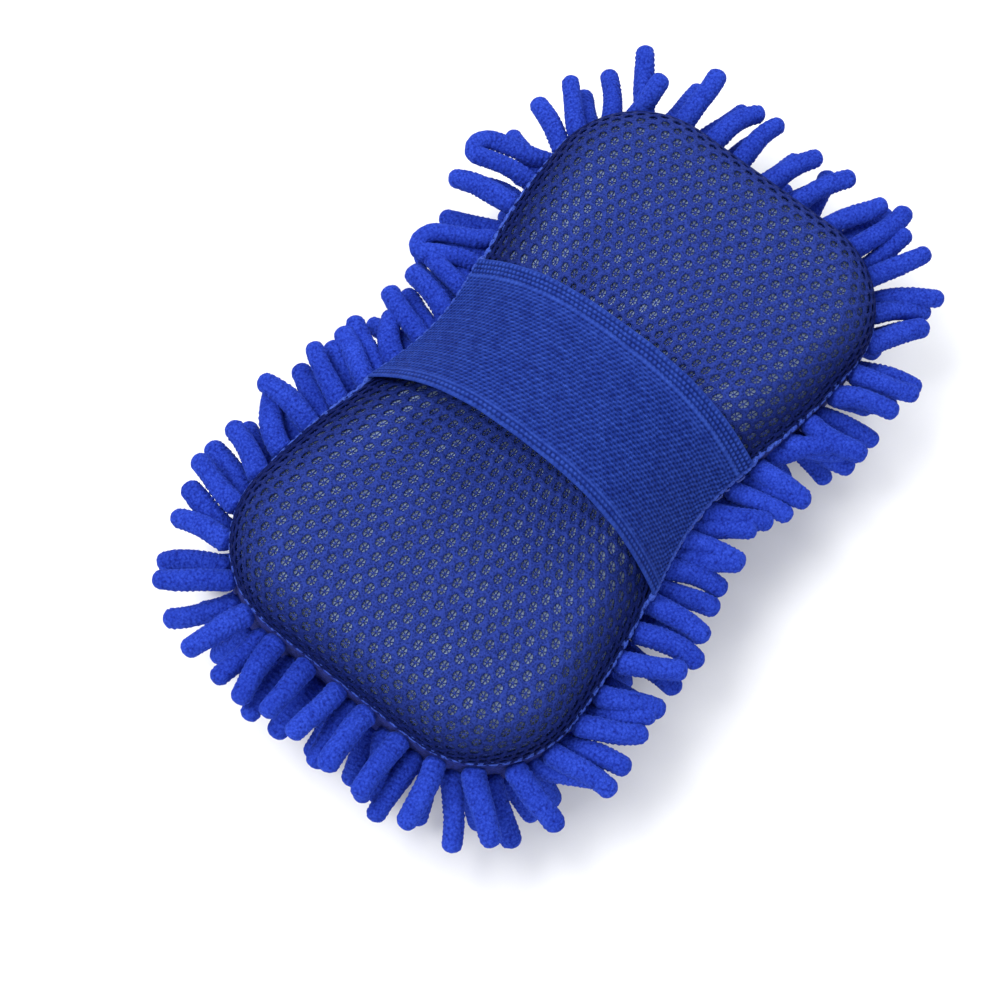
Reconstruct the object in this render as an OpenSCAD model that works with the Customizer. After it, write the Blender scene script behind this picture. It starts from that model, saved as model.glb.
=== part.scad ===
// Car wash mitt: a foam block in a cover with a net back and a pile of chenille noodles
// on its sides and underside, and an elastic hand strap arched over the back.
// The origin is on the ground under the middle of the mitt. +X points to the finger end,
// +Y to the left side, +Z up. Millimetres.

/* [Body] */
// Length of the cover at its rim, without the noodles
body_l = 214; // [190:1:240]
// Width of the cover at its rim, without the noodles and before the strap pulls it in
body_w = 117; // [108:1:130]
// Radius of the four corners of the rim
corner_r = 33; // [26:1:40]
// Height of the rim seam above the ground
rim_z = 44; // [42:1:50]
// Height of the net back above the rim, at the end of its rounded edge
net_h = 13; // [10:1:15]
// How far in from the rim the rounded edge of the net back reaches
shoulder = 14; // [10:1:18]
// Rise of the middle of the net back above its rounded edge
crown = 1.5; // [0:0.5:3]
// Height of the underside of the pile cloth above the ground
base_z = 17; // [15:1:20]
// Radius of the bottom edge
bottom_r = 8; // [6:1:10]
// Thickness of the net and of the pile cloth
cloth_t = 1.5; // [1:0.1:2]
// Gap between the foam and its cover
foam_gap = 0.3; // [0.2:0.1:0.6]
// Diameter of the piping-like ridge that the rim seam makes
seam_d = 1.7; // [1.2:0.1:1.7]
// Width of the seam allowance inside the rim
allowance_w = 6; // [4:1:8]

/* [Waist] */
// Share of the width that the strap pulls in at the rim
waist = 0.173; // [0.1:0.005:0.18]
// Half length of the waist at the rim
waist_l = 38; // [30:1:45]
// Further share of the width that the rounded edge gives way under the strap
squeeze = 0.24; // [0.22:0.01:0.3]
// Half length of the squeezed stretch of the rounded edge
squeeze_l = 60; // [50:1:70]

/* [Strap] */
// Width of the hand strap, along the mitt
strap_w = 53.4; // [40:0.1:60]
// Place of the middle of the strap along the mitt
strap_x = -2.3; // [-5:0.1:5]
// Thickness of the strap
strap_t = 1.5; // [1:0.1:2]
// Height of the strap above the rim at its wrist edge
arch_wrist = 34.8; // [33:0.1:40]
// Height of the strap above the rim at its finger edge
arch_finger = 25.5; // [25:0.1:32]
// Depth of the foot of the strap below the rim
foot_drop = 2.5; // [2:0.1:3]
// Distance of the strap's outer face from the rim, on its straight legs
foot_out = 1.9; // [1.8:0.1:2.4]
// Height above the rim at which the strap's legs turn into its arch
leg_top = 2; // [1.5:0.1:3]
// Power of the arch's curve: 2 is a parabola, more is squarer
arch_power = 2.6; // [2.5:0.1:3.5]
// Height of the turned-under hem at each end of the strap
hem_h = 3.8; // [3:0.1:4.2]
// Spacing of the stitches that hold the hem
stitch_pitch = 4.6; // [4:0.1:6]

/* [Noodles] */
// Diameter of a chenille noodle
noodle_d = 7; // [6:0.1:7.2]
// Length of a noodle on the sides
noodle_l = 22; // [18:1:26]
// Number of noodles in each tier round the sides
tier_count = 54; // [48:1:54]
// Spacing of the noodles along a row of the underside
bottom_pitch = 11; // [10.5:0.1:13]
// How much the noodles on the long sides lean towards the finger end
lean = 0.42; // [0:0.02:0.5]

/* [Hidden] */
EDGE_GAP = 1.2;        // from the middle of the rim seam to the edge of each cloth
ARC_STEPS = 6;         // steps round each corner of an outline
SIDE_STEPS = 15;       // steps along each long side of an outline
STEM_R = 1.1;          // radius of the thread that a noodle hangs by
EMBED = 0.8;           // depth of a noodle's root in the pile cloth
FOOT_SPREAD = 2.2;     // spread of the heights at which the underside noodles end
HEM_DIP = 2.4;         // how far the upper tier drops under a strap hem
SWAY = 5;              // spread of the directions of neighbouring noodles, degrees
JOINT_GAP = 0.3;       // clearance between the strap and its hems
SEAM_BITE = 0.3;       // depth of the seam allowance's edge in the ridge of the rim seam

BOTTOM_ROWS = 9;
MID_ROW = (BOTTOM_ROWS + 1) / 2;
TIERS = ["upper", "middle", "lower"];
TIER_Z = [36.5, 27.5, 20];
TIER_PITCH = [6, -12, -42];
TIER_SHORTER = [0, 0, 3];
TIER_SHIFT = [0, 0.5, 0];
SIDES = ["finger_end", "left", "wrist_end", "right"];

perimeter = 2 * (body_l + body_w) - 8 * corner_r + 2 * PI * corner_r;
foot_z = rim_z - foot_drop;
top_z = rim_z + net_h;

// ---- curves and outlines ----

function bell(t) = exp(-t * t);
function clamp(t) = max(0, min(1, t));
function rim_half(x) = body_w / 2 * (1 - waist * bell(x / waist_l));
// a steady spread of values from -0.5 to 0.5
function spread(i) = (i * 0.618034 + 0.31) % 1 - 0.5;

// Share of its width that the cover keeps at x and z
function narrowing(x, z) =
    1 - waist * bell(x / waist_l) - squeeze * clamp((z - rim_z) / net_h) * bell(x / squeeze_l);

// Rounded rectangle, anticlockwise from the finger end's right corner
function rounded_rect(a, b, r) = concat(
    corner_arc(a - r, -(b - r), r, -90),
    corner_arc(a - r, b - r, r, 0),
    side_points(a - r, b),
    corner_arc(-(a - r), b - r, r, 90),
    corner_arc(-(a - r), -(b - r), r, 180),
    side_points(-(a - r), -b)
);
function corner_arc(x, y, r, start) = [
    for (i = [0 : ARC_STEPS])
        [x + r * cos(start + 90 * i / ARC_STEPS), y + r * sin(start + 90 * i / ARC_STEPS)]
];
function side_points(x, y) = [
    for (i = [1 : SIDE_STEPS - 1]) [x * (1 - 2 * i / SIDE_STEPS), y]
];

// The cover's outline at height z, drawn in from the rim by inset
function outline(inset, z) = [
    for (p = rounded_rect(body_l / 2 - inset, body_w / 2 - inset, max(corner_r - inset, 3)))
        [p.x, p.y * narrowing(p.x, z), z]
];

// Insets and heights of the net back from the rim up, for a skin drawn in by depth
function top_profile(depth) = concat(
    [for (a = [0 : 15 : 90])
        [shoulder - (shoulder - depth) * cos(a),
         max(rim_z + EDGE_GAP, rim_z + (net_h - depth) * sin(a))]],
    [[shoulder + 16, top_z - depth + 0.65 * crown],
     [shoulder + 30, top_z - depth + crown]]
);
// Insets and heights of the pile cloth from the middle of the underside up to the rim
function bottom_profile(depth) = concat(
    [for (a = [90 : -15 : 0])
        [bottom_r - (bottom_r - depth) * cos(a),
         base_z + bottom_r - (bottom_r - depth) * sin(a)]],
    [[depth, rim_z - EDGE_GAP]]
);
function side_inset(z) =
    z > base_z + bottom_r ? 0
    : bottom_r - sqrt(pow(bottom_r, 2) - pow(base_z + bottom_r - z, 2));
function reverse(list) = [for (i = [len(list) - 1 : -1 : 0]) list[i]];

// A solid skinned over rings with the same number of points, open in a loop or with two ends
module loft(rings, closed = false) {
    n = len(rings[0]);
    m = len(rings);
    spans = closed ? m : m - 1;
    sides = [
        for (k = [0 : spans - 1], i = [0 : n - 1])
            let (low = k * n, high = ((k + 1) % m) * n, j = (i + 1) % n)
            each [[low + i, high + i, high + j], [low + i, high + j, low + j]]
    ];
    ends = closed ? [] : [
        [for (i = [0 : n - 1]) i],
        [for (i = [n - 1 : -1 : 0]) (m - 1) * n + i]
    ];
    polyhedron(points = [for (ring = rings) each ring], faces = concat(sides, ends));
}
module skin(profile) loft([for (p = profile) outline(p[0], p[1])]);

// ---- the padded body ----

// The foam closes round the seam allowance, so it has a slit there
module foam_core() {
    depth = cloth_t + foam_gap;
    half_slit = cloth_t / 2 + foam_gap;
    slit_end = seam_d + allowance_w + foam_gap;
    slit = [[depth, rim_z - half_slit], [slit_end, rim_z - half_slit],
            [slit_end, rim_z + half_slit], [depth, rim_z + half_slit]];
    color("darkseagreen") skin(concat(bottom_profile(depth), slit, top_profile(depth)));
}
module mesh_back() {
    color("royalblue") skin(concat(reverse(top_profile(cloth_t)), top_profile(0)));
}
module pile_backing() {
    color("mediumblue") skin(concat(bottom_profile(0), reverse(bottom_profile(cloth_t))));
}
module rim_seam() {
    r = seam_d / 2;
    color("cornflowerblue")
        loft([for (a = [0 : 60 : 300]) outline(r - r * cos(a), rim_z + r * sin(a))], closed = true);
}
module seam_allowance() {
    from = seam_d - SEAM_BITE;
    color("navy") loft([
        outline(from, rim_z - cloth_t / 2),
        outline(from, rim_z + cloth_t / 2),
        outline(from + allowance_w, rim_z + cloth_t / 2),
        outline(from + allowance_w, rim_z - cloth_t / 2)
    ], closed = true);
}

// ---- the strap ----

// A point of the strap: across is 0 to 1 from its wrist edge to its finger edge, and turn is
// -90 to 90 from the right end of its arch to the left one, and past that at the feet of its legs
function strap_point(across, turn, depth) =
    let (x = strap_x + strap_w * (across - 0.5),
         around = sin(max(-90, min(90, turn))),
         rise = arch_wrist + (arch_finger - arch_wrist) * across - leg_top - depth)
    [x, (rim_half(x) + foot_out - depth) * around,
     abs(turn) > 90 ? foot_z : rim_z + leg_top + rise * (1 - pow(abs(around), arch_power))];

module hand_strap() {
    stations = [0 : 0.25 : 1];
    color("mediumblue") loft([
        for (turn = [-97.5 : 7.5 : 97.5])
            concat([for (u = stations) strap_point(u, turn, 0)],
                   reverse([for (u = stations) strap_point(u, turn, strap_t)]))
    ]);
}
// The strap's end, turned under and sewn to the cover just below the rim
module strap_hem() {
    xs = [for (i = [0 : 8]) strap_x + strap_w * (i / 8 - 0.5)];
    color("blue") translate([0, 0, foot_z - JOINT_GAP - hem_h]) linear_extrude(hem_h)
        polygon(concat([for (x = xs) [x, rim_half(x) - EMBED / 2]],
                       reverse([for (x = xs) [x, rim_half(x) + foot_out]])));
}
module strap_stitches() {
    stitch_l = 3;
    stitch_d = 0.9;
    last = floor((strap_w / 2 - stitch_l) / stitch_pitch);
    color("lightsteelblue") for (i = [-last : last]) {
        x = strap_x + i * stitch_pitch;
        slope = atan((rim_half(x + 1) - rim_half(x - 1)) / 2);
        translate([x, rim_half(x) + foot_out, foot_z - JOINT_GAP - hem_h / 2])
            rotate([0, 90, slope]) cylinder(h = stitch_l, d = stitch_d, center = true, $fn = 16);
    }
}
module strap_hem_left() strap_hem();
module strap_hem_right() mirror([0, 1, 0]) strap_hem();
module strap_stitches_left() strap_stitches();
module strap_stitches_right() mirror([0, 1, 0]) strap_stitches();

// ---- the pile ----

// One noodle along +Z from its root: a thin stem that swells to a soft, blunt-ended tube
module noodle(length, tip) {
    r = noodle_d / 2;
    rotate_extrude($fn = 24) polygon([
        [0, 0], [STEM_R, 0], [STEM_R, 1.5], [r, 5], [r, length - 0.5 * noodle_d],
        [0.85 * r, length - 0.2 * noodle_d], [tip * r, length], [0, length]
    ]);
}

// Noodles of the underside hang straight down, and about a third of them reach the ground
module bottom_pile_row(row) {
    from_mid = row - MID_ROW;
    first = abs(from_mid) % 2 / 2;
    reach = ceil(body_l / 2 / bottom_pitch);
    color("blue") for (i = [-reach : reach]) {
        x = (i + first) * bottom_pitch;
        y = from_mid * bottom_pitch;
        lift = (i + row + 1) % 3 == 0 ? 0 : FOOT_SPREAD * (0.5 + spread(i + 7 * row));
        if (on_underside(x, y))
            translate([x, y * narrowing(x, 0), base_z + EMBED])
                rotate([180, 0, 0]) noodle(base_z + EMBED - lift, 0.6);
    }
}
function on_underside(x, y) =
    let (a = body_l / 2 - bottom_r - STEM_R - 2, b = body_w / 2 - bottom_r - STEM_R - 1,
         r = corner_r - bottom_r)
    abs(x) <= a && abs(y) <= b
    && norm([max(abs(x) - a + r, 0), max(abs(y) - b + r, 0)]) <= r;

// Place and outward direction at a distance along the rim, from the middle of the finger end
function rim_at(s) =
    let (end = body_w / 2 - corner_r, side = body_l - 2 * corner_r, arc = PI * corner_r / 2,
         quarter = end + arc + side / 2,
         t = s % (2 * quarter),
         turn = s % (4 * quarter) < 2 * quarter ? 1 : -1,
         half = rim_half_loop(t, end, side, arc))
    [for (v = half) v * turn];
function rim_half_loop(t, end, side, arc) =
    t < end ? concat([body_l / 2, t], [1, 0])
    : t < end + arc ? rim_corner(1, 90 * (t - end) / arc)
    : t < end + arc + side ? [body_l / 2 - corner_r - (t - end - arc), body_w / 2, 0, 1]
    : t < end + 2 * arc + side ? rim_corner(-1, 90 + 90 * (t - end - arc - side) / arc)
    : [-body_l / 2, end - (t - end - 2 * arc - side), -1, 0];
function rim_corner(way, a) = [
    way * (body_l / 2 - corner_r) + corner_r * cos(a), body_w / 2 - corner_r + corner_r * sin(a),
    cos(a), sin(a)
];
// Which of the four sides a direction faces, as its place in SIDES
function facing(angle) = floor(((angle + 405) % 360) / 90);

// The upper tier runs lower where it passes under a strap hem
function tier_height(tier, x, facing_side) =
    TIER_Z[tier] - (tier == 0 && facing_side % 2 == 1
        ? HEM_DIP * exp(-pow((x - strap_x) / (strap_w / 2 + 7), 6)) : 0);

module side_pile(tier, side) {
    color("royalblue") for (i = [0 : tier_count - 1]) {
        rim = rim_at((i + TIER_SHIFT[tier]) * perimeter / tier_count);
        if (facing(atan2(rim[3], rim[2])) == side) {
            z = tier_height(tier, rim[0], side);
            x = rim[0] - side_inset(z) * rim[2];
            y = (rim[1] - side_inset(z) * rim[3]) * narrowing(x, 0);
            heading = atan2(rim[3], rim[2] + lean) + SWAY * spread(i + 19 * tier);
            pitch = TIER_PITCH[tier] + SWAY * spread(5 * i + tier);
            length = noodle_l - TIER_SHORTER[tier] + 2 * spread(3 * i + 11 * tier);
            translate([x, y, z]) rotate([0, 90 - pitch, heading])
                translate([0, 0, -EMBED]) noodle(length + EMBED, 0.45);
        }
    }
}

// ---- the assembly ----

foam_core();
mesh_back();
pile_backing();
rim_seam();
seam_allowance();
hand_strap();
strap_hem_left();
strap_hem_right();
strap_stitches_left();
strap_stitches_right();
for (row = [1 : BOTTOM_ROWS])
    bottom_pile_row(row);
for (tier = [0 : len(TIERS) - 1], side = [0 : len(SIDES) - 1])
    side_pile(tier, side);
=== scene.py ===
"""The looks of a car wash mitt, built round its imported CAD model. Metres, in the CAD frame."""
import math

import bpy
import numpy as np
from mathutils import Matrix, Vector


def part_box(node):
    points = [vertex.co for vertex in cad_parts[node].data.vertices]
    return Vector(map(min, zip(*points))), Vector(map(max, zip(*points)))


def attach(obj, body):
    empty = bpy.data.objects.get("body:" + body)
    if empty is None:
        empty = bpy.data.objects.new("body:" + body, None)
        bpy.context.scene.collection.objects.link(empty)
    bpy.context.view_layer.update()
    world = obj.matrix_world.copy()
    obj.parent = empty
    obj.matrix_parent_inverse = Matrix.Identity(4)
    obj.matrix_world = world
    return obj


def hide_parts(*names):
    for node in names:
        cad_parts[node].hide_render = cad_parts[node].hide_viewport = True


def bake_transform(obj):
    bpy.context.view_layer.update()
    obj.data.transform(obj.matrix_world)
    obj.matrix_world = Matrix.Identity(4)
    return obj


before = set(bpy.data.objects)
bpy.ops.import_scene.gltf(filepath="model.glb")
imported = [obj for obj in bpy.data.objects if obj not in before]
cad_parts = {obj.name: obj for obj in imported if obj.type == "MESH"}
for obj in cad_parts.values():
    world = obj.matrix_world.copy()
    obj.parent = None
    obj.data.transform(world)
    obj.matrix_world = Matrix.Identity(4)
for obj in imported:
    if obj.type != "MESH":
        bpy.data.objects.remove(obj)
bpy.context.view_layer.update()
MM = 0.001

# The cover's shape, by the same rules as the CAD model
CORNER_R = 33 * MM       # radius of the rim's corners
SHOULDER = 14 * MM       # how far the rounded edge of the net back reaches in from the rim
NET_H = 13 * MM          # height of the net back above the rim, at the end of that edge
CROWN = 1.5 * MM         # rise of the middle of the net back
BOTTOM_R = 8 * MM        # radius of the bottom edge
CLOTH_T = 1.5 * MM       # thickness of the CAD model's cloth
WAIST, WAIST_L = 0.173, 38 * MM       # how far the strap pulls the rim in, and over what length
SQUEEZE, SQUEEZE_L = 0.24, 60 * MM    # how far the rounded edge gives way under the strap

rim_low, rim_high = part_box("rim_seam")
back_low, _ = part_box("pile_backing")
strap_low, strap_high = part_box("hand_strap")
hem_low, hem_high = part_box("strap_hem_left")
RIM_Z = (rim_low.z + rim_high.z) / 2
BASE_Z = back_low.z
HALF_L = rim_high.x
CORE_X = HALF_L - CORNER_R
# the cover is widest where its corners start, and the waist still pulls it in a little there
HALF_W = rim_high.y / (1 - WAIST * math.exp(-(CORE_X / WAIST_L) ** 2))
CORE_Y = HALF_W - CORNER_R
FLAT_R = CORNER_R - SHOULDER
EDGE_ARC = math.pi / 4 * (SHOULDER + NET_H)
# the net is gathered towards the rim: cloth FLAT_R + EASE out from the core keeps its scale, and
# at its edge, GATHER_L further out, only EDGE_SCALE of it is left
EASE, EDGE_SCALE = 1 * MM, 0.20
GATHER_L = 2 * (EDGE_ARC - EASE) / (1 + EDGE_SCALE)
CLOTH_R = FLAT_R + EASE + GATHER_L    # reach of the cloth's edge


# ---------------------------------------------------------------- shape helpers

def bell(t):
    return np.exp(-t * t)


def narrowing(x, z):
    """Share of its width that the cover keeps at x and z."""
    give = SQUEEZE * np.clip((z - RIM_Z) / NET_H, 0, 1)
    return 1 - WAIST * bell(x / WAIST_L) - give * bell(x / SQUEEZE_L)


def ripple(x, y, seed):
    """Smooth, seeded unevenness from -1 to 1, with features of about 15 to 40 mm."""
    rng = np.random.default_rng(seed)
    total = np.zeros_like(x)
    for _ in range(5):
        kx, ky = rng.uniform(-380, 380, 2)
        total = total + np.sin(kx * x + ky * y + rng.uniform(0, 2 * math.pi))
    return total / 5


def net_surface(a, b):
    """The outer face of the net back, at cloth coordinates a along the mitt and b across it.
    The cloth lies flat on top and rolls over the rounded edge down to the rim."""
    qx, qy = np.clip(a, -CORE_X, CORE_X), np.clip(b, -CORE_Y, CORE_Y)
    vx, vy = a - qx, b - qy
    reach = np.hypot(vx, vy)
    safe = np.where(reach > 1e-9, reach, 1)
    past = np.maximum(reach - FLAT_R - EASE, 0)
    arc = reach - FLAT_R - past ** 2 * (1 - EDGE_SCALE) / (2 * GATHER_L)
    turn = np.clip(arc / EDGE_ARC, 0, 1.1) * math.pi / 2
    out = np.where(reach < FLAT_R, reach, FLAT_R + SHOULDER * np.sin(turn))
    inset = np.where(reach > 0, CORNER_R - reach,
                     CORNER_R + np.minimum(CORE_X - np.abs(a), CORE_Y - np.abs(b)))
    dome = 1 - (1 - np.clip((inset - SHOULDER) / (30 * MM), 0, 1)) ** 2
    x = qx + vx / safe * out
    z = RIM_Z + NET_H * np.cos(turn) + CROWN * dome
    z = z + 0.25 * MM * ripple(a, b, 3) * np.clip(inset / SHOULDER, 0, 1)
    y = (qy + vy / safe * out) * narrowing(x, z)
    return np.stack([x, y, z], -1)


def net_point(a, b, height):
    """A point at a height above the outer face of the net, along its normal."""
    step = 0.2 * MM
    along = net_surface(a + step, b) - net_surface(a - step, b)
    across = net_surface(a, b + step) - net_surface(a, b - step)
    normal = np.cross(along, across)
    normal /= np.linalg.norm(normal, axis=-1, keepdims=True)
    return net_surface(a, b) + normal * np.asarray(height)[..., None]


def cloth_reach(a, b):
    """Distance of cloth coordinates from the core rectangle: the cloth's edge is at CLOTH_R."""
    return np.hypot(np.maximum(np.abs(a) - CORE_X, 0), np.maximum(np.abs(b) - CORE_Y, 0))


def outline(count, inset):
    """Points of the rim's outline seen from above, before the waist, with their outward normals."""
    r = max(CORNER_R - inset, 2 * MM)
    hx, hy = HALF_L - inset - r, HALF_W - inset - r
    lengths = [2 * hy, math.pi / 2 * r, 2 * hx, math.pi / 2 * r] * 2
    total = sum(lengths)
    points, normals = [], []
    corners = [(hx, hy, 0), (-hx, hy, 90), (-hx, -hy, 180), (hx, -hy, 270)]
    for i in range(count):
        s = (i / count) * total
        k = 0
        while s > lengths[k]:
            s -= lengths[k]
            k += 1
        cx, cy, start = corners[k // 2]
        if k % 2:
            angle = math.radians(start) + s / r
            centre = np.array([cx, cy])
        else:
            angle = math.radians(start)
            back = np.array([math.sin(angle), -math.cos(angle)])
            centre = np.array([cx, cy]) + back * (lengths[k] - s)
        n = np.array([math.cos(angle), math.sin(angle)])
        points.append(centre + n * r)
        normals.append(n)
    return np.array(points), np.array(normals)


# ---------------------------------------------------------------- mesh helpers

def grid_faces(rows, cols, wrap_rows=False, wrap_cols=False):
    """Quads over a grid of points that is stored row by row."""
    r = np.arange(rows if wrap_rows else rows - 1)[:, None]
    c = np.arange(cols if wrap_cols else cols - 1)[None, :]
    r2, c2 = (r + 1) % rows, (c + 1) % cols
    quads = [r * cols + c, r * cols + c2, r2 * cols + c2, r2 * cols + c]
    return np.stack([q + 0 * r * c for q in quads], -1).reshape(-1, 4)


def join(parts):
    """Joins (points, faces, values) parts into one set. values is a dict of one number a point."""
    points, faces, values, start = [], [], {}, 0
    for p, f, v in parts:
        points.append(p)
        faces.extend([i + start for i in face] for face in (f if isinstance(f, list) else f.tolist()))
        for key, numbers in v.items():
            values.setdefault(key, []).append(np.broadcast_to(numbers, len(p)))
        start += len(p)
    return np.concatenate(points), faces, {k: np.concatenate(v) for k, v in values.items()}


def make_piece(name, points, faces, material, values=None, body="root"):
    """A smooth-shaded mesh piece that rides on a body. values become attributes of its points."""
    mesh = bpy.data.meshes.new(name)
    mesh.from_pydata(np.asarray(points).tolist(), [], faces)
    mesh.validate()
    mesh.shade_smooth()
    for key, numbers in (values or {}).items():
        layer = mesh.attributes.new(key, "FLOAT", "POINT")
        layer.data.foreach_set("value", np.asarray(numbers, np.float32))
    mesh.materials.append(material)
    piece = bpy.data.objects.new(name, mesh)
    bpy.context.scene.collection.objects.link(piece)
    if body:
        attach(piece, body)
    return piece


def tube(path, radius, sides, shape=None, closed=False):
    """Points and faces of a tube round a path. radius is one number or one a point of the path,
    and shape adds to it by (turn, place along the path)."""
    path = np.asarray(path, float)
    n = len(path)
    tangent = np.roll(path, -1, 0) - np.roll(path, 1, 0)
    if not closed:
        tangent[0], tangent[-1] = path[1] - path[0], path[-1] - path[-2]
    tangent /= np.linalg.norm(tangent, axis=1, keepdims=True)
    up = np.array([0, 0, 1.0]) if abs(tangent[0][2]) < 0.9 else np.array([1.0, 0, 0])
    side = np.zeros_like(path)
    for i in range(n):
        base = up if i == 0 else side[i - 1]
        across = np.cross(base, tangent[i]) if i == 0 else base - tangent[i] * (base @ tangent[i])
        side[i] = across / np.linalg.norm(across)
    other = np.cross(tangent, side)
    turn = np.arange(sides) / sides * 2 * math.pi
    r = np.broadcast_to(np.asarray(radius, float), n)[:, None] * np.ones(sides)
    if shape is not None:
        r = r + shape
    ring = np.cos(turn)[None, :, None] * side[:, None] + np.sin(turn)[None, :, None] * other[:, None]
    points = (path[:, None] + ring * r[..., None]).reshape(-1, 3)
    faces = grid_faces(n, sides, wrap_rows=closed, wrap_cols=True).tolist()
    if not closed:
        faces += [list(range(sides))[::-1], list(range((n - 1) * sides, n * sides))]
    return points, faces


# ---------------------------------------------------------------- materials

def new_material(name, **constants):
    """A material with one Principled shader. constants are set on the shader's own sockets."""
    material = bpy.data.materials.new(name)
    material.use_nodes = True
    shader = material.node_tree.nodes["Principled BSDF"]
    for key, value in constants.items():
        shader.inputs[key.replace("_", " ")].default_value = value
    return material, material.node_tree, shader


def node(tree, kind, inputs=None, **settings):
    """A shader node. inputs maps its sockets to numbers, colours or other nodes' outputs."""
    made = tree.nodes.new(kind)
    for key, value in settings.items():
        setattr(made, key, value)
    for key, value in (inputs or {}).items():
        if isinstance(value, bpy.types.NodeSocket):
            tree.links.new(value, made.inputs[key])
        else:
            made.inputs[key].default_value = value
    return made


def ramp(tree, factor, stops):
    """A colour ramp through (place, colour) stops."""
    made = node(tree, "ShaderNodeValToRGB", {"Fac": factor})
    elements = made.color_ramp.elements
    while len(elements) < len(stops):
        elements.new(0.5)
    for element, (place, colour) in zip(elements, stops):
        element.position = place
        element.color = (*colour, 1)
    return made.outputs["Color"]


def math_node(tree, operation, a, b=0.0):
    return node(tree, "ShaderNodeMath", {0: a, 1: b}, operation=operation).outputs[0]


def mix(tree, factor, a, b, blend="MIX"):
    made = node(tree, "ShaderNodeMix", data_type="RGBA", blend_type=blend)
    for index, value in ((0, factor), (6, a), (7, b)):
        if isinstance(value, bpy.types.NodeSocket):
            tree.links.new(value, made.inputs[index])
        else:
            made.inputs[index].default_value = value if index == 0 else (*value, 1)
    return made.outputs[2]


def bump(tree, shader, height, distance, strength=1.0, after=None):
    made = node(tree, "ShaderNodeBump", {"Height": height, "Distance": distance,
                                         "Strength": strength})
    if after is not None:
        tree.links.new(after, made.inputs["Normal"])
    tree.links.new(made.outputs["Normal"], shader.inputs["Normal"])
    return made.outputs["Normal"]


def value_of(tree, name):
    return node(tree, "ShaderNodeAttribute", attribute_name=name).outputs["Fac"]


def place_of(tree):
    return node(tree, "ShaderNodeTexCoord").outputs["Object"]


def noise(tree, scale, detail=3.0, roughness=0.6, vector=None):
    return node(tree, "ShaderNodeTexNoise",
                {"Vector": vector or place_of(tree), "Scale": scale, "Detail": detail,
                 "Roughness": roughness}).outputs["Fac"]


def chenille_material():
    """Velvety microfibre pile: short tufts, with a painted highlight where they stand up, painted
    shade between them and painted shade at the noodles' roots.
    """
    material, tree, shader = new_material(
        "chenille", Roughness=0.95, Sheen_Weight=0.22, Sheen_Roughness=0.4,
        Sheen_Tint=(0.12, 0.26, 1.0, 1), Specular_IOR_Level=0.05)
    tufts = noise(tree, 1400, 4, 0.65)
    pits = node(tree, "ShaderNodeTexVoronoi",
                {"Vector": place_of(tree), "Scale": 1200}, feature="F1").outputs["Distance"]
    relief = math_node(tree, "SUBTRACT", tufts, math_node(tree, "MULTIPLY", pits, 0.4))
    # painted shade in the low places between the tufts and a painted highlight on their high places,
    # following the bump's relief
    fine = ramp(tree, relief, [(0.00, (0.009, 0.018, 0.20)), (0.24, (0.018, 0.046, 0.40)),
                               (0.48, (0.034, 0.080, 0.56))])
    patches = ramp(tree, noise(tree, 130, 3), [(0.35, (0.80, 0.82, 0.88)), (0.65, (1, 1, 1))])
    toned = mix(tree, 1.0, fine, patches, "MULTIPLY")
    tone = ramp(tree, value_of(tree, "tone"), [(0.0, (0.78, 0.80, 0.86)), (1.0, (1, 1, 1))])
    toned = mix(tree, 1.0, toned, tone, "MULTIPLY")
    # painted shade at the noodles' roots, where they leave the cloth among their neighbours
    painted_root_shade = ramp(tree, value_of(tree, "depth"), [(0.0, (1, 1, 1)), (0.9, (0.35, 0.38, 0.5))])
    tree.links.new(mix(tree, 1.0, toned, painted_root_shade, "MULTIPLY"), shader.inputs["Base Color"])
    bump(tree, shader, relief, 0.45 * MM, 1.0)
    return material


def net_material(name, dark, light):
    """Knitted filament yarn: fine stitches along the net's bars, with painted shade where the net
    rolls down over the rounded edge to the rim.
    """
    material, tree, shader = new_material(
        name, Roughness=0.7, Sheen_Weight=0.02, Sheen_Roughness=0.4,
        Sheen_Tint=(0.12, 0.26, 1.0, 1), Specular_IOR_Level=0.06)
    stitches = node(tree, "ShaderNodeTexVoronoi",
                    {"Vector": place_of(tree), "Scale": 1450}, feature="F1").outputs["Distance"]
    threads = noise(tree, 2600, 3)
    relief = math_node(tree, "ADD", stitches, math_node(tree, "MULTIPLY", threads, 0.6))
    colour = ramp(tree, relief, [(0.40, dark), (1.0, light)])
    # painted shade over the rounded edge, darkening the net towards the rim
    edge = ramp(tree, value_of(tree, "edge"), [(0.04, (1, 1, 1)), (0.55, (0.16, 0.23, 0.37))])
    tree.links.new(mix(tree, 1.0, colour, edge, "MULTIPLY"), shader.inputs["Base Color"])
    bump(tree, shader, relief, 0.22 * MM, 0.9)
    return material


def foam_material():
    """Open-cell foam, olive grey, with small dark pores."""
    material, tree, shader = new_material("foam", Roughness=0.95, Specular_IOR_Level=0.1)
    cells = node(tree, "ShaderNodeTexVoronoi",
                 {"Vector": place_of(tree), "Scale": 1500}, feature="F1").outputs["Distance"]
    shade = noise(tree, 300, 3)
    colour = ramp(tree, cells, [(0.10, (0.11, 0.145, 0.20)), (0.55, (0.22, 0.29, 0.42))])
    patch = ramp(tree, shade, [(0.3, (0.8, 0.8, 0.8)), (0.7, (1, 1, 1))])
    tree.links.new(mix(tree, 1.0, colour, patch, "MULTIPLY"), shader.inputs["Base Color"])
    bump(tree, shader, cells, 0.3 * MM, 0.8)
    return material


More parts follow.
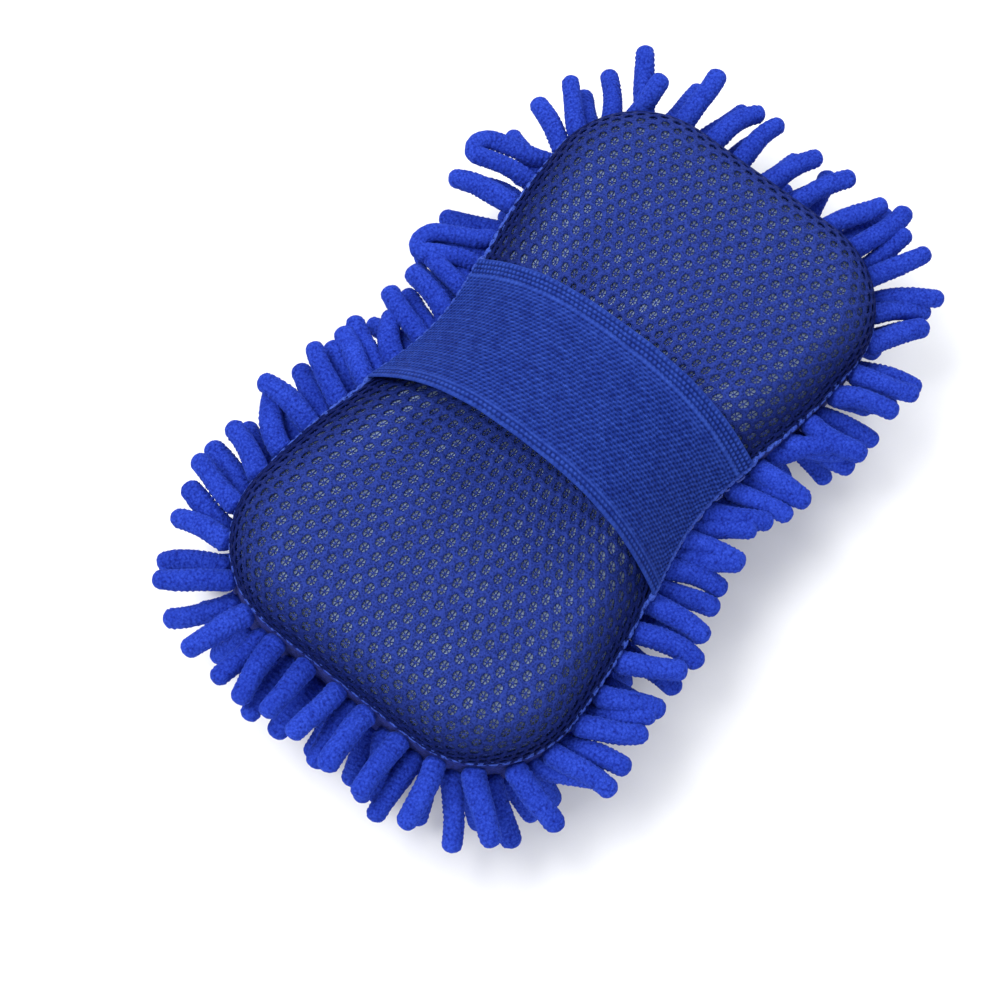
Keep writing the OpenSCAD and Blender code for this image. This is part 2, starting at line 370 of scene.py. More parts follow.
def backing_material():
    """The pile's ground cloth: a close dark blue knit."""
    material, tree, shader = new_material(
        "pile_cloth", Roughness=0.95, Sheen_Weight=0.02, Specular_IOR_Level=0.05)
    loops = node(tree, "ShaderNodeTexVoronoi",
                 {"Vector": place_of(tree), "Scale": 1000}, feature="F1").outputs["Distance"]
    tree.links.new(ramp(tree, loops, [(0.1, (0.006, 0.010, 0.08)), (0.6, (0.016, 0.028, 0.20))]),
                   shader.inputs["Base Color"])
    bump(tree, shader, loops, 0.35 * MM, 0.8)
    return material


def strap_material():
    """Ribbed elastic: its knit is in the mesh, with painted shade in the hollows and a painted
    highlight on the crests.
    """
    material, tree, shader = new_material(
        "elastic", Roughness=0.7, Sheen_Weight=0.02, Sheen_Roughness=0.4,
        Sheen_Tint=(0.12, 0.26, 1.0, 1), Specular_IOR_Level=0.06)
    threads = noise(tree, 2300, 3)
    # the knit's height sets painted shade in its hollows and a painted highlight on its crests
    base = ramp(tree, value_of(tree, "weave"),
                [(0.05, (0.002, 0.008, 0.075)), (0.45, (0.009, 0.029, 0.21)),
                 (0.95, (0.032, 0.078, 0.40))])
    fleck = ramp(tree, threads, [(0.3, (0.70, 0.72, 0.78)), (0.7, (1.0, 1.0, 1.0))])
    cloudy = ramp(tree, noise(tree, 360, 4), [(0.32, (0.56, 0.62, 0.74)), (0.6, (1.08, 1.06, 1.02))])
    toned = mix(tree, 1.0, base, fleck, "MULTIPLY")
    tree.links.new(mix(tree, 1.0, toned, cloudy, "MULTIPLY"), shader.inputs["Base Color"])
    bump(tree, shader, threads, 0.12 * MM, 0.7)
    return material


def thread_material():
    """Plied sewing thread."""
    material, tree, shader = new_material(
        "thread", Roughness=0.55, Sheen_Weight=0.2, Specular_IOR_Level=0.4)
    plies = noise(tree, 3000, 2)
    tree.links.new(ramp(tree, plies, [(0.3, (0.030, 0.060, 0.36)), (0.7, (0.075, 0.13, 0.55))]),
                   shader.inputs["Base Color"])
    bump(tree, shader, plies, 0.15 * MM, 0.8)
    return material


def floor_material():
    material, tree, shader = new_material("floor", Roughness=0.9, Specular_IOR_Level=0.1)
    grain = ramp(tree, noise(tree, 40, 2), [(0.3, (0.86, 0.86, 0.86)), (0.7, (0.88, 0.88, 0.88))])
    tree.links.new(grain, shader.inputs["Base Color"])
    return material


# ---------------------------------------------------------------- the net back

HOLE_PITCH_A = 4.2 * MM      # spacing of the columns of holes along the mitt
HOLE_PITCH_B = 4.75 * MM     # spacing of the holes in a column
HOLE_A, HOLE_B = 1.62 * MM, 1.22 * MM    # half length and half width of a hole
NET_T = 0.45 * MM            # thickness of the outer net
BAR_BULGE = 0.16 * MM        # how far the middle of a bar stands proud
LINING_DEPTH = 0.72 * MM     # depth of the lining's yarns under the outer face
CELL_SIDES = 12


def hole_centres():
    """Cloth coordinates of the net's holes, up to a little past the cloth's edge."""
    columns = math.ceil((CORE_X + CLOTH_R) / HOLE_PITCH_A) + 1
    rows = math.ceil((CORE_Y + CLOTH_R) / HOLE_PITCH_B) + 1
    centres = np.array([(i * HOLE_PITCH_A, (j + (i % 2) / 2) * HOLE_PITCH_B)
                        for i in range(-columns, columns + 1) for j in range(-rows, rows + 1)])
    return centres[cloth_reach(centres[:, 0], centres[:, 1]) < CLOTH_R + 1.2 * MM]


def net_cell():
    """The six-sided cell round a hole: its corners and the middles of its sides."""
    half = HOLE_PITCH_B / 2
    inner = (HOLE_PITCH_A ** 2 - half ** 2) / (2 * HOLE_PITCH_A)
    outer = HOLE_PITCH_A - inner
    corners = np.array([(outer, 0), (inner, half), (-inner, half), (-outer, 0), (-inner, -half),
                        (inner, -half)])
    middles = (corners + np.roll(corners, -1, 0)) / 2
    return np.stack([corners, middles], 1).reshape(-1, 2)


def edge_share(reach):
    """0 on top of the net, rising to 1 at the rim."""
    return np.clip((reach - FLAT_R - 2 * MM) / (CLOTH_R - FLAT_R - 2 * MM), 0, 1)


def net_back():
    """The outer net: cloth round every hole, bulged like yarn, with real openings."""
    centres = hole_centres()
    reach = cloth_reach(centres[:, 0], centres[:, 1])
    rng = np.random.default_rng(7)
    cell = net_cell()
    turn = np.arctan2(cell[:, 1] / HOLE_B, cell[:, 0] / HOLE_A)
    oval = np.stack([np.cos(turn) * HOLE_A, np.sin(turn) * HOLE_B], -1)
    size = rng.uniform(0.93, 1.06, (len(centres), 2)) * (1 + 0.22 * edge_share(reach))[:, None]
    size[reach > CLOTH_R - 1.5 * MM] *= 0.2
    holes = oval[None] * size[:, None]
    steps = ((0.0, BAR_BULGE), (0.7, BAR_BULGE * 0.6), (1.0, -0.45 * NET_T), (0.88, -NET_T),
             (0.0, -NET_T))
    ab = np.stack([cell[None] * (1 - k) + holes * k + centres[:, None] for k, _ in steps], 1)
    heights = np.broadcast_to(np.array([h for _, h in steps])[None, :, None], ab.shape[:3])
    core = np.clip(ab, [-CORE_X, -CORE_Y], [CORE_X, CORE_Y])
    over = cloth_reach(ab[..., 0], ab[..., 1])
    ab = core + (ab - core) * np.minimum(1, CLOTH_R / np.maximum(over, 1e-9))[..., None]
    points = net_point(ab[..., 0], ab[..., 1], heights).reshape(-1, 3)
    one = grid_faces(len(steps), CELL_SIDES, wrap_cols=True)
    starts = np.arange(len(centres)) * len(steps) * CELL_SIDES
    faces = (one[None] + starts[:, None, None]).reshape(-1, 4)
    # edge is 0 on top of the net and 1 at the rim; the net's material paints shade by it
    return points, faces.tolist(), {"edge": edge_share(over).reshape(-1)}


def lining_yarns():
    """The under face of the spacer net: yarns in three directions that cross under each hole."""
    parts = []
    for along, gap in (((1, 0), (0, HOLE_PITCH_B / 2)),
                       ((HOLE_PITCH_A, 1.5 * HOLE_PITCH_B), (HOLE_PITCH_A, HOLE_PITCH_B / 2)),
                       ((HOLE_PITCH_A, -1.5 * HOLE_PITCH_B), (HOLE_PITCH_A, -HOLE_PITCH_B / 2))):
        unit = np.array(along, float) / np.hypot(*along)
        gap = np.array(gap, float)
        for k in range(-90, 91):
            start = gap * k
            start = start - unit * (start @ unit)
            s = np.arange(-75, 76) * 2.7 * MM
            line = start + s[:, None] * unit
            line = line[cloth_reach(line[:, 0], line[:, 1]) < CLOTH_R - 4 * MM]
            if len(line) < 4:
                continue
            path = net_point(line[:, 0], line[:, 1], np.full(len(line), -LINING_DEPTH))
            points, faces = tube(path, 0.17 * MM, 4)
            parts.append((points, faces, {}))
    return join(parts)


def foam_block():
    """The sponge. It fills the cover under the net, and draws back from it towards the rim."""
    cols = 160
    top_gap, rim_gap = 0.98 * MM, 3.2 * MM
    rings = []
    for angle in np.radians(np.linspace(90, 0, 7)):
        inset = BOTTOM_R - (BOTTOM_R - rim_gap) * math.cos(angle)
        rings.append((inset, BASE_Z + BOTTOM_R - (BOTTOM_R - CLOTH_T) * math.sin(angle)))
    rings += [(rim_gap, BASE_Z + BOTTOM_R + t * (RIM_Z - BASE_Z - BOTTOM_R)) for t in (0.3, 0.6, 1)]
    for angle in np.radians(np.linspace(8, 90, 12)):
        gap = rim_gap + (top_gap - rim_gap) * math.sin(angle)
        inset = SHOULDER - (SHOULDER - gap) * math.cos(angle)
        rings.append((inset, RIM_Z + (NET_H - gap) * math.sin(angle)))
    top = RIM_Z + NET_H - top_gap
    rings += [(SHOULDER + t * 30 * MM, top + CROWN * (1 - (1 - t) ** 2))
              for t in (0.2, 0.4, 0.6, 0.8, 1.0)]
    points = []
    for inset, z in rings:
        p, _ = outline(cols, inset)
        y = p[:, 1] * narrowing(p[:, 0], np.full(cols, z))
        lift = 0.25 * MM * ripple(p[:, 0], y, 3) if z > RIM_Z + NET_H * 0.9 else 0
        points.append(np.stack([p[:, 0], y, np.full(cols, z) + lift], -1))
    points = np.concatenate(points)
    faces = grid_faces(len(rings), cols, wrap_cols=True).tolist()
    faces += [list(range(cols))[::-1], list(range((len(rings) - 1) * cols, len(rings) * cols))]
    return points, faces


def cloth_tray():
    """The pile's ground cloth, from the rim down the sides and across the underside."""
    cols = 200
    thick = 1.0 * MM
    profile = [(0.2 * MM, RIM_Z - 0.8 * MM)]
    profile += [(0.0, BASE_Z + BOTTOM_R + t * (RIM_Z - 1.5 * MM - BASE_Z - BOTTOM_R))
                for t in np.linspace(1, 0, 7)]
    for angle in np.radians(np.linspace(0, 90, 8))[1:]:
        profile.append((BOTTOM_R - BOTTOM_R * math.cos(angle),
                        BASE_Z + BOTTOM_R - BOTTOM_R * math.sin(angle)))
    profile += [(BOTTOM_R + t * MM, BASE_Z) for t in (8, 18, 30, 42)]
    rings = [(i, z, 0.0) for i, z in profile] + [(i, z, thick) for i, z in reversed(profile)]
    points = []
    for inset, z, depth in rings:
        p, n = outline(cols, inset)
        flat = inset > BOTTOM_R
        lean = 0.0 if flat else 1.0
        x = p[:, 0] - n[:, 0] * depth * lean
        y = (p[:, 1] - n[:, 1] * depth * lean) * narrowing(x, np.zeros(cols))
        pucker = 0.25 * MM * ripple(x, y + z, 11)
        points.append(np.stack([x + n[:, 0] * pucker * lean, y + n[:, 1] * pucker * lean,
                                np.full(cols, z + (depth if inset >= BOTTOM_R else 0))], -1))
    points = np.concatenate(points)
    faces = [f[::-1] for f in grid_faces(len(rings), cols, wrap_rows=True, wrap_cols=True).tolist()]
    middle = len(profile) - 1
    under = list(range(middle * cols, (middle + 1) * cols))
    inside = list(range((middle + 1) * cols, (middle + 2) * cols))
    faces = [f for f in faces if not (set(f) & set(under) and set(f) & set(inside))]
    faces += [under[::-1], inside]
    return points, faces


def rim_path(count, inset, z):
    """A closed path along the rim, inset from its outline."""
    p, _ = outline(count, inset)
    y = p[:, 1] * narrowing(p[:, 0], np.zeros(count))
    return np.stack([p[:, 0], y, np.full(count, z)], -1)


NIP_COUNT = 176              # stitches that nip in the rim seam, 3.4 mm apart


def seam_ridge():
    """The ridge of the rim seam: gathered cloth, nipped in by a stitch every few millimetres."""
    count, sides = 1300, 10
    path = rim_path(count, 0.75 * MM, RIM_Z)
    over_strap = 1 / (1 + (np.abs(path[:, 0] - STRAP_X) / (STRAP_W / 2 + 1.5 * MM)) ** 40)
    path[:, 1] += np.sign(path[:, 1]) * over_strap * (FOOT_OUT - LEG_IN + 0.2 * MM)
    place = np.arange(count) / count
    total = 2 * math.pi * NIP_COUNT
    turn = np.arange(sides) / sides * 2 * math.pi
    nips = np.cos(total * place)[:, None] * 0.16 * MM + 0 * turn
    twist = np.cos(total * 2 * place[:, None] + turn) * 0.10 * MM
    rough = 0.12 * MM * ripple(path[:, 0] * 9, path[:, 1] * 9, 5)[:, None]
    path[:, 2] += 0.35 * MM * ripple(path[:, 0] * 1.5, path[:, 1] * 1.5, 8)
    return tube(path, 0.95 * MM, sides, nips + twist + rough, closed=True)


# ---------------------------------------------------------------- the strap

STRAP_T = 1.3 * MM
RELIEF = 0.50 * MM           # depth of the strap's knit
RIB_PITCH = 1.22 * MM
STITCH_PITCH = 1.75 * MM
DOT_PITCH = 1.6 * MM
LEG_IN = 0.9 * MM            # how much closer to the rim the sewn-in strap runs than the CAD one
ARCH_POWER = 2.6
STRAP_W = strap_high.x - strap_low.x
STRAP_X = (strap_high.x + strap_low.x) / 2
LEG_TOP = RIM_Z + 2 * MM                     # where the strap's legs turn into its arch
ARCH_WRIST = strap_high.z - LEG_TOP          # rise of the arch over that, at the wrist edge
ARCH_FINGER = ARCH_WRIST - 9.3 * MM          # and at the finger edge
HEM_H = hem_high.z - hem_low.z


def rim_half(x):
    return HALF_W * (1 - WAIST * bell(x / WAIST_L))


FOOT_OUT = strap_high.y - rim_half(strap_low.x)


def strap_line(x, along):
    """The middle of the strap's thickness at one place across it. along is -1 to 1 on the arch.
    Past that it is the distance down the leg, round the turned-under end and up its inside."""
    share = (x - strap_low.x) / STRAP_W
    rise = ARCH_WRIST + (ARCH_FINGER - ARCH_WRIST) * share - STRAP_T / 2
    half = rim_half(x) + FOOT_OUT - LEG_IN - STRAP_T / 2
    around = np.clip(along, -1, 1)
    sag = 0.35 * MM * ripple(x * 2.2 + 0 * along, half * around * 1.6, 21)
    y = half * np.abs(around)
    z = LEG_TOP + (rise + sag) * (1 - np.abs(around) ** ARCH_POWER)
    past = np.maximum(np.abs(along) - 1, 0)
    drop = LEG_TOP - hem_low.z - STRAP_T
    fold_r = 0.55 * MM
    down = np.minimum(past, drop)
    turn = np.clip(past - drop, 0, math.pi * fold_r) / fold_r
    up = np.maximum(past - drop - math.pi * fold_r, 0)
    y = y - (1 - np.cos(turn)) * fold_r
    z = z - down - np.sin(turn) * fold_r + up
    return np.stack([x + 0 * y, np.sign(around) * y, z], -1)


def cosine(t):
    """A wave from 0 to 1 with its crests at whole numbers."""
    return 0.5 + 0.5 * np.cos(2 * math.pi * t)


def knit(across, along):
    """Height, 0 to 1, of the elastic's knit at distances across and along the cloth: fine ribs
    with slanted stitches, between a dotted border and a smooth selvage at each edge."""
    row = np.floor(across / RIB_PITCH + 0.5)
    drift = 0.35 * ripple(across * 3 + 0 * along, along * 3, 31)
    slant = along / STITCH_PITCH + 0.37 * row + 0.6 * (across / RIB_PITCH - row) + drift
    field = 0.42 * cosine(across / RIB_PITCH + 0.1 * drift) + 0.58 * cosine(slant) ** 0.8
    uneven = ripple(across * 5 + 40 * row, along * 5, 37)
    field = field * (0.86 + 0.10 * np.sin(row * 2.4) + 0.16 * uneven)
    dot_row = np.floor(across / DOT_PITCH)
    dots = cosine(across / DOT_PITCH + 0.5) * cosine(along / DOT_PITCH + 0.5 * dot_row)
    border = 0.12 + 0.88 * np.sqrt(dots)
    finger = STRAP_W - across
    soft = 0.12 * MM
    in_border = 1 / (1 + np.exp((np.minimum(across + 2.5 * MM, finger) - 6.2 * MM) / soft))
    height = field * (1 - in_border) + border * in_border
    for line, size, share in ((3.9 * MM, across, 0.8), (6.6 * MM, finger, 1), (9.4 * MM, finger, 0.5)):
        ridge = share * bell((size - line) / (0.5 * MM))
        height = height * (1 - ridge) + (0.74 + 0.18 * cosine(along / STITCH_PITCH)) * ridge
    selvage = 1 / (1 + np.exp((np.minimum(across, finger) - 0.9 * MM) / soft))
    return height * (1 - selvage) + (0.62 + 0.12 * cosine(along / DOT_PITCH)) * selvage


def strap_places():
    """Where the strap's cross-sections lie along it, for strap_line."""
    arch = np.sin(np.radians(np.linspace(-90, 90, 300)))
    hem = 1 + np.linspace(0, LEG_TOP - hem_low.z + HEM_H, 30)[1:]
    return np.concatenate([-hem[::-1], arch, hem])


def strap_length():
    """Length of the band along its middle, with both turned-under ends."""
    line = strap_line(STRAP_X, strap_places())
    return float(np.linalg.norm(np.diff(line, axis=0), axis=1).sum())


def strap_mesh():
    """One band of elastic with its knit in the mesh, closed round both faces and both edges."""
    outer_n, inner_n = 214, 16
    place = strap_places()
    edge = 0.45 * MM
    outer_x = np.linspace(strap_low.x, strap_high.x, outer_n)
    inner_x = np.linspace(strap_high.x, strap_low.x, inner_n)
    columns, weave = [], []
    for k, x in enumerate(np.concatenate([outer_x, inner_x])):
        line = strap_line(x, place)
        step = np.gradient(line, axis=0)
        step /= np.linalg.norm(step, axis=1, keepdims=True)
        normal = np.cross(np.array([1.0, 0, 0]), step)
        along = np.concatenate([[0], np.cumsum(np.linalg.norm(np.diff(line, axis=0), axis=1))])
        from_side = min(x - strap_low.x, strap_high.x - x)
        rounding = math.sqrt(max(1 - (1 - min(from_side / edge, 1)) ** 2, 0))
        height = knit(x - strap_low.x, along - along[-1] / 2)
        if k < outer_n:
            lift = (STRAP_T / 2 - RELIEF + RELIEF * height) * rounding
        else:
            lift = np.full(len(line), -STRAP_T / 2 * max(rounding, 0.25))
        columns.append(line + normal * lift[:, None])
        # the knit's height, which the elastic's material turns into painted shade and highlight
        weave.append(height)
    grid = np.stack(columns, 1)
    rows, cols = grid.shape[:2]
    faces = grid_faces(rows, cols, wrap_cols=True).tolist()
    faces += [list(range(cols))[::-1], list(range((rows - 1) * cols, rows * cols))]
    return grid.reshape(-1, 3), faces, {"weave": np.stack(weave, 1).reshape(-1)}


def hem_stitches(side):
    """Thread bars that dip into the hem at both ends, where the CAD model's stitches lie."""
    low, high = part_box("strap_stitches_left")
    count = 11
    z = (low.z + high.z) / 2
    parts = []
    for x in np.linspace(low.x + 1.5 * MM, high.x - 1.5 * MM, count):
        s = np.linspace(-1, 1, 13)
        xs = x + s * 1.7 * MM
        lift = 0.30 * MM - 0.75 * MM * s ** 6
        y = rim_half(xs) + FOOT_OUT - LEG_IN + lift
        path = np.stack([xs, side * y, np.full(13, z)], -1)
        points, faces = tube(path, 0.32 * MM, 8)
        parts.append((points, faces, {}))
    return join(parts)


# ---------------------------------------------------------------- the pile

def solids(node_name):
    """The separate solids of a CAD node, each as an array of its points."""
    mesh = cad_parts[node_name].data
    co = np.empty(len(mesh.vertices) * 3)
    mesh.vertices.foreach_get("co", co)
    unique, place = np.unique(co.reshape(-1, 3).round(6), axis=0, return_inverse=True)
    place = place.reshape(-1)
    parent = list(range(len(unique)))

    def root_of(i):
        while parent[i] != i:
            parent[i] = parent[parent[i]]
            i = parent[i]
        return i

    for edge in mesh.edges:
        a, b = root_of(place[edge.vertices[0]]), root_of(place[edge.vertices[1]])
        parent[a] = b
    roots = np.array([root_of(i) for i in range(len(unique))])
    return [unique[roots == r] for r in sorted(set(roots.tolist()))]


def axis_of(points):
    """Root, tip and radius of a noodle's solid. The root is the end nearer to the body."""
    centre = (points.min(0) + points.max(0)) / 2
    _, _, axes = np.linalg.svd(points - points.mean(0), full_matrices=False)
    axis = axes[0]
    along = (points - centre) @ axis
    middle = points.mean(0)
    middle = middle - axis * ((middle - centre) @ axis)
    ends = [middle + axis * along.min(), middle + axis * along.max()]

    def from_body(p):
        core = np.array([np.clip(p[0], -CORE_X, CORE_X), np.clip(p[1], -CORE_Y, CORE_Y),
                         (RIM_Z + BASE_Z) / 2])
        return np.linalg.norm(p - core)

    ends.sort(key=from_body)
    off = points - middle
    off = off - np.outer(off @ axis, axis)
    return ends[0], ends[1], float(np.linalg.norm(off, axis=1).max())


NOODLE_ROWS, NOODLE_SIDES = 64, 22     # points along a strand and round it
UNDER_L = 21 * MM            # length of the underside's noodles
UNDER_Z = 3.3 * MM           # height of their middle line where they lie on the ground
ASKEW, ASKEW_SHARE = 0.38, 1 / 8       # how far askew some noodles lie, and how many do
TANGLE_UPPER, TANGLE_LOWER = 0.09, 0.22    # unevenness of the tiers' rise, in radians
# where a strand is one long loop: its place along the mitt, as a share of half its length
LOOPS = {"upper_pile_left": (0.56, 0.28)}
# how much more than in the CAD model the tiers rise, in radians, and how much higher they start
LIFT = {"upper": 0.02, "middle": 0.30, "lower": 0.14}
ROOT_RISE = {"upper": 2.6 * MM, "middle": 4.6 * MM, "lower": 1.6 * MM}
# the finger end's noodles rise and start higher still, lean to the mitt's right, and are longer
FINGER_LIFT, FINGER_RISE, FINGER_LEAN = 0.28, 2.2 * MM, -0.44
FINGER_STRETCH = 0.08
LEFT_LEAN = 0.75             # how far the left side's noodles lean back to the wrist past the strap
LOOP_LEAN = 0.38             # and how far a loop does
ROOT_STRAY = 1.3 * MM        # unevenness of the height that the two lower tiers start at


def heading_path(root, directions, length):
    """A path from root that follows unit directions."""
    step = length / (len(directions) - 1)
    return root + np.concatenate([np.zeros((1, 3)), np.cumsum(directions[:-1] * step, axis=0)])


def side_path(root, tip, rng, lift, lean, tangle):
    """A noodle of the sides: it wanders a little to one side, and droops towards its end. A few
    lie askew over their neighbours."""
    t = np.linspace(0, 1, NOODLE_ROWS)
    reach = tip - root
    length = np.linalg.norm(reach)
    askew = rng.choice([-ASKEW, ASKEW]) if rng.random() < ASKEW_SHARE else 0.0
    lift = lift + abs(askew) / 3
    yaw = math.atan2(reach[1], reach[0]) + lean + askew + rng.normal(0, 0.09)
    yaw = yaw + rng.normal(0, 0.33) * (t - 0.25) + 0.08 * np.sin(2 * math.pi * t + rng.uniform(0, 6))
    pitch = math.asin(reach[2] / length) + lift + rng.normal(0, tangle)
    pitch = pitch - rng.uniform(0.1, 0.6) * t ** 1.5
    way = np.stack([np.cos(yaw) * np.cos(pitch), np.sin(yaw) * np.cos(pitch), np.sin(pitch)], -1)
    return heading_path(root, way, length * rng.uniform(0.95, 1.05))


def under_path(root, rng):
    """A noodle of the underside: it leans outwards and its end lies along the ground."""
    t = np.linspace(0, 1, NOODLE_ROWS)
    yaw = math.atan2(root[1] * 2, root[0]) + rng.normal(0, 0.7) + rng.normal(0, 0.4) * t
    pitch = -math.pi / 2 + rng.uniform(1.0, 1.3) * np.clip(t * 1.5 - 0.15, 0, 1) ** 1.4
    way = np.stack([np.cos(yaw) * np.cos(pitch), np.sin(yaw) * np.cos(pitch), np.sin(pitch)], -1)
    path = heading_path(root, way, UNDER_L)
    drop = root[2] - UNDER_Z
    path[:, 2] = root[2] - (root[2] - path[:, 2]) * drop / (root[2] - path[:, 2].min())
    return path


def loop_path(root, other, tip, radius):
    """A strand that leaves at root, turns back beside itself near tip and ends at the next root."""
    across = other - root
    width = np.linalg.norm(across)
    across = across / width
    out = (tip - root) - across * ((tip - root) @ across)
    length = np.linalg.norm(out)
    out = out / length + across * LOOP_LEAN
    out = out / np.linalg.norm(out)
    bend = radius * 1.06
    t = np.linspace(0, 1, NOODLE_ROWS)
    close = (width / 2 - bend) * (1 - np.clip(t * 2.2, 0, 1)) ** 1.5 + bend
    leg = np.stack([length * t, -close], -1)
    turn = np.linspace(-90, 90, 24)[1:-1]
    cap = np.stack([length + bend * np.cos(np.radians(turn)), bend * np.sin(np.radians(turn))], -1)
    flat = np.concatenate([leg, cap, leg[::-1] * [1, -1]])
    middle = root + across * width / 2
    path = middle + np.outer(flat[:, 0], out) + np.outer(flat[:, 1], across)
    path[:, 2] += 3 * MM * np.sin(flat[:, 0] / (length + bend) * math.pi * 0.7)
    return path


def strand(path, radius, rng, closed_end):
    """Chenille round a path: rings of tufts that are never quite even, and a soft blunt end."""
    rows = len(path)
    s = np.concatenate([[0], np.cumsum(np.linalg.norm(np.diff(path, axis=0), axis=1))])
    length = s[-1]
    full = radius * rng.uniform(0.93, 1.05)
    start = np.minimum(s, s if closed_end else length - s) / (2.6 * MM)
    swell = 0.45 + 0.55 * np.sin(np.clip(start, 0, 1) * math.pi / 2)
    end = np.clip((length - s) / (0.85 * full), 0, 1)
    blunt = np.sqrt(np.clip(1 - (1 - end) ** 2.4, 0, 1)) if closed_end else 1.0
    thin = 1 - 0.14 * (s / length) ** 2 * closed_end
    profile = full * swell * thin * np.maximum(blunt, 0.05)
    turn = np.arange(NOODLE_SIDES) / NOODLE_SIDES * 2 * math.pi
    phase = rng.uniform(0, 2 * math.pi, 8)
    pitch = rng.uniform(1.45, 1.8) * MM
    wander = 1.3 * np.sin(turn + phase[0]) + 0.8 * np.sin(2 * turn + phase[5])
    rings = np.sin(2 * math.pi * s[:, None] / pitch + wander + phase[1])
    rings = rings * (0.55 + 0.45 * np.sin(2 * turn + phase[2] + s[:, None] / (3 * MM)))
    lumps = 0.5 * np.sin(3 * turn + s[:, None] / (2.2 * MM) + phase[3])
    lumps = lumps + np.sin(2 * turn - s[:, None] / (4.1 * MM) + phase[4])
    tufts = rng.normal(0, 1, (rows, NOODLE_SIDES))
    relief = (0.14 * rings + 0.10 * lumps + 0.07 * tufts) * MM
    relief = relief * (profile / full)[:, None]
    points, faces = tube(path, profile, NOODLE_SIDES, relief)
    points[:, 2] = np.maximum(points[:, 2], 0.15 * MM)
    # depth is 1 at a root and falls to 0 by 2.6 mm along; the chenille paints shade at the roots by it
    values = {"tone": rng.uniform(0, 1), "depth": np.repeat(1 - np.clip(start, 0, 1), NOODLE_SIDES)}
    return points, faces, values


def pile_row(node_name, material, first_seed):
    """The detailed noodles that stand for one CAD row."""
    under = node_name.startswith("bottom")
    noodles = [axis_of(points) for points in solids(node_name)]
    noodles.sort(key=lambda n: (n[0][0], n[0][1]))
    parts, done = [], set()
    for place in LOOPS.get(node_name, ()):
        k = min(range(len(noodles) - 1), key=lambda i: abs(noodles[i][0][0] - place * HALF_L))
        rng = np.random.default_rng(first_seed + 60 + k)
        (root, tip, radius), (other, _, _) = noodles[k + 1], noodles[k]
        parts.append(strand(loop_path(root, other, tip, radius), radius * 0.86, rng, False))
        done |= {k, k + 1}
    for k, (root, tip, radius) in enumerate(noodles):
        if k in done:
            continue
        rng = np.random.default_rng(first_seed + k)
        tier = node_name.split("_")[0]
        finger = "finger" in node_name
        lift = LIFT.get(tier, 0.0) + FINGER_LIFT * finger
        lean = FINGER_LEAN * finger * bell((root[1] + 5 * MM) / (45 * MM))
        lean += LEFT_LEAN * ("left" in node_name) * bell((root[0] - 40 * MM) / (22 * MM))
        stray = 0.0 if tier == "upper" else rng.normal(0, ROOT_STRAY)
        rise = np.array([0, 0, ROOT_RISE.get(tier, 0.0) + FINGER_RISE * finger + stray])
        tangle = TANGLE_UPPER if tier == "upper" else TANGLE_LOWER
        if under:
            path = under_path(root, rng)
        else:
            tip = tip + (tip - root) * FINGER_STRETCH * finger
            path = side_path(root + rise, tip + rise, rng, lift, lean, tangle)
        parts.append(strand(path, radius, rng, True))
    points, faces, values = join(parts)
    piece = make_piece("noodles_" + node_name, points, faces, material, values)
    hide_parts(node_name)
    return piece


# ---------------------------------------------------------------- the scene

def add_camera():
    """A camera at the photographer's place: over the wrist end's right, looking down at 65 degrees."""
    azimuth, elevation, roll = math.radians(-71.9), math.radians(64.9), math.radians(20.5)
    distance, pivot = 0.600, Vector((0, 0, 0.040))
    back = Vector((math.sin(azimuth) * math.cos(elevation),
                   -math.cos(azimuth) * math.cos(elevation), math.sin(elevation)))
    eye = pivot + back * distance
    right = Vector((math.cos(azimuth), math.sin(azimuth), 0))
    up = back.cross(right)
    r = right * math.cos(roll) + up * math.sin(roll)
    u = up * math.cos(roll) - right * math.sin(roll)
    aim = pivot - r * 0.0195 - u * 0.0232
    data = bpy.data.cameras.new("camera")
    data.lens = 71.3
    camera = bpy.data.objects.new("camera", data)
    look = -(aim - eye).normalized()
    side = u.cross(look).normalized()
    rotation = Matrix((side, look.cross(side), look)).transposed().to_4x4()
    camera.matrix_world = Matrix.Translation(eye) @ rotation
    bpy.context.scene.collection.objects.link(camera)
    bpy.context.scene.camera = camera


def add_area_light(name, place, size, power, colour=(1, 1, 1)):
    data = bpy.data.lights.new(name, "AREA")
    data.shape = "DISK"
    data.size = size
    data.energy = power
    data.color = colour
    light = bpy.data.objects.new(name, data)
    light.location = place
    light.rotation_euler = (Vector((0, 0, 0.03)) - Vector(place)).to_track_quat("-Z", "Y").to_euler()
    bpy.context.scene.collection.objects.link(light)


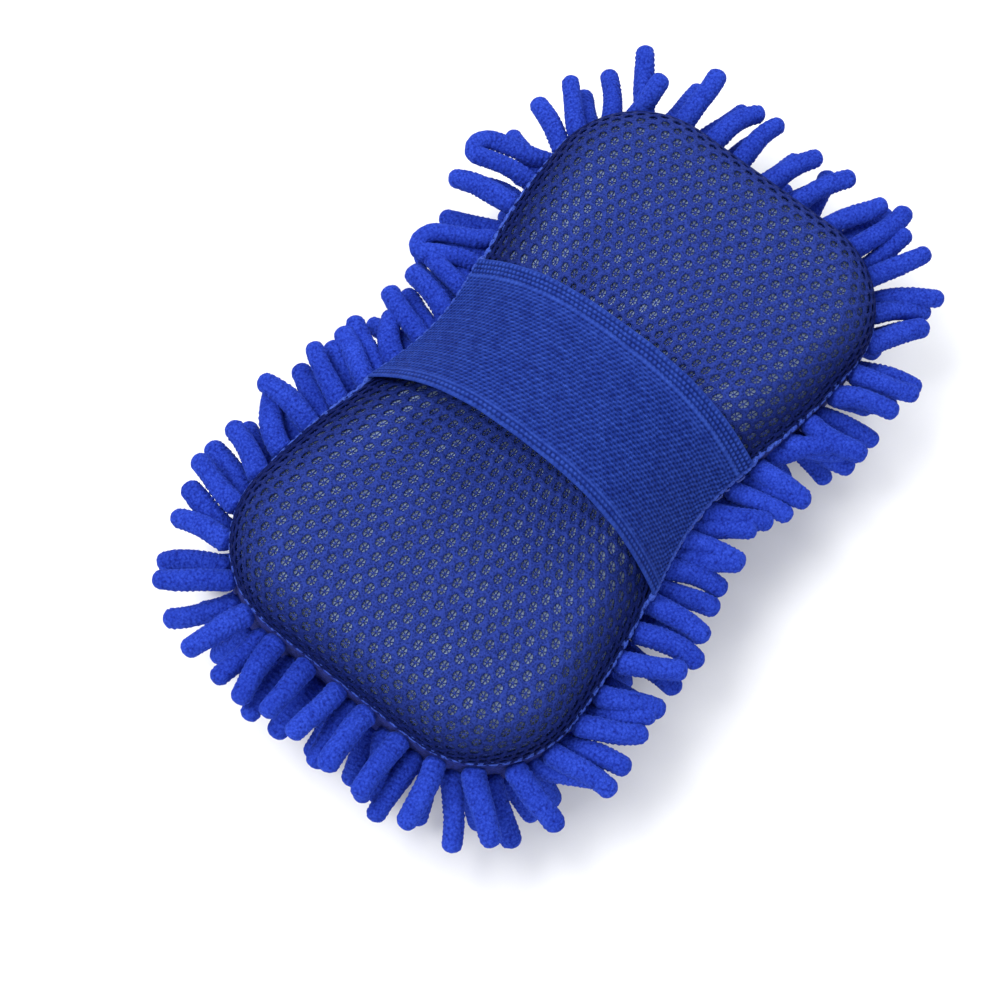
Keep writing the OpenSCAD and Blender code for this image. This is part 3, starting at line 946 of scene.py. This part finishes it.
def add_studio():
    """A pale floor, three large soft lights and an even, faintly blue world."""
    bpy.ops.mesh.primitive_plane_add(size=6, location=(0, 0, -0.0005))
    floor = bpy.context.object
    floor.name = "floor"
    floor.data.materials.append(floor_material())
    add_area_light("key", (-0.45, 0.70, 1.25), 0.9, 20)
    add_area_light("fill", (-0.9, -0.8, 0.9), 1.2, 9)
    add_area_light("rim", (0.9, 0.2, 0.8), 0.8, 7)
    world = bpy.data.worlds.new("studio")
    world.use_nodes = True
    world.node_tree.nodes["Background"].inputs["Color"].default_value = (0.9, 0.93, 1.0, 1)
    world.node_tree.nodes["Background"].inputs["Strength"].default_value = 0.6
    bpy.context.scene.world = world
    bpy.context.scene.view_settings.view_transform = "Standard"


def build():
    chenille = chenille_material()
    elastic = strap_material()
    thread = thread_material()
    net = net_material("net", (0.005, 0.012, 0.09), (0.019, 0.039, 0.235))
    under_net = net_material("net_lining", (0.010, 0.020, 0.12), (0.024, 0.044, 0.24))
    seam = net_material("seam", (0.014, 0.030, 0.21), (0.046, 0.095, 0.45))

    points, faces = foam_block()
    foam = make_piece("foam", points, faces, foam_material())
    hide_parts("foam_core")

    points, faces, values = net_back()
    back = make_piece("net", points, faces, net, values)
    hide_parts("mesh_back")
    points, faces, _ = lining_yarns()
    lining = make_piece("net_lining", points, faces, under_net)
    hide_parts("mesh_back")

    points, faces = cloth_tray()
    tray = make_piece("pile_cloth", points, faces, backing_material())
    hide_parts("pile_backing")

    points, faces = seam_ridge()
    ridge = make_piece("seam_ridge", points, faces, seam)
    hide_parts("rim_seam")
    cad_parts["seam_allowance"].data.materials.clear()
    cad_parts["seam_allowance"].data.materials.append(backing_material())

    points, faces, values = strap_mesh()
    strap = make_piece("strap", points, faces, elastic, values, body=None)
    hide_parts("hand_strap", "strap_hem_left", "strap_hem_right")
    strap_length()
    for side, name in ((1, "left"), (-1, "right")):
        points, faces, _ = hem_stitches(side)
        stitches = make_piece("stitches_" + name, points, faces, thread)
        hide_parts("strap_stitches_" + name)
    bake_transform(strap)

    rows = sorted(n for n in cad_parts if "_pile_" in n)
    for k, name in enumerate(rows):
        pile_row(name, chenille, 100 * k)


build()
add_camera()
add_studio()
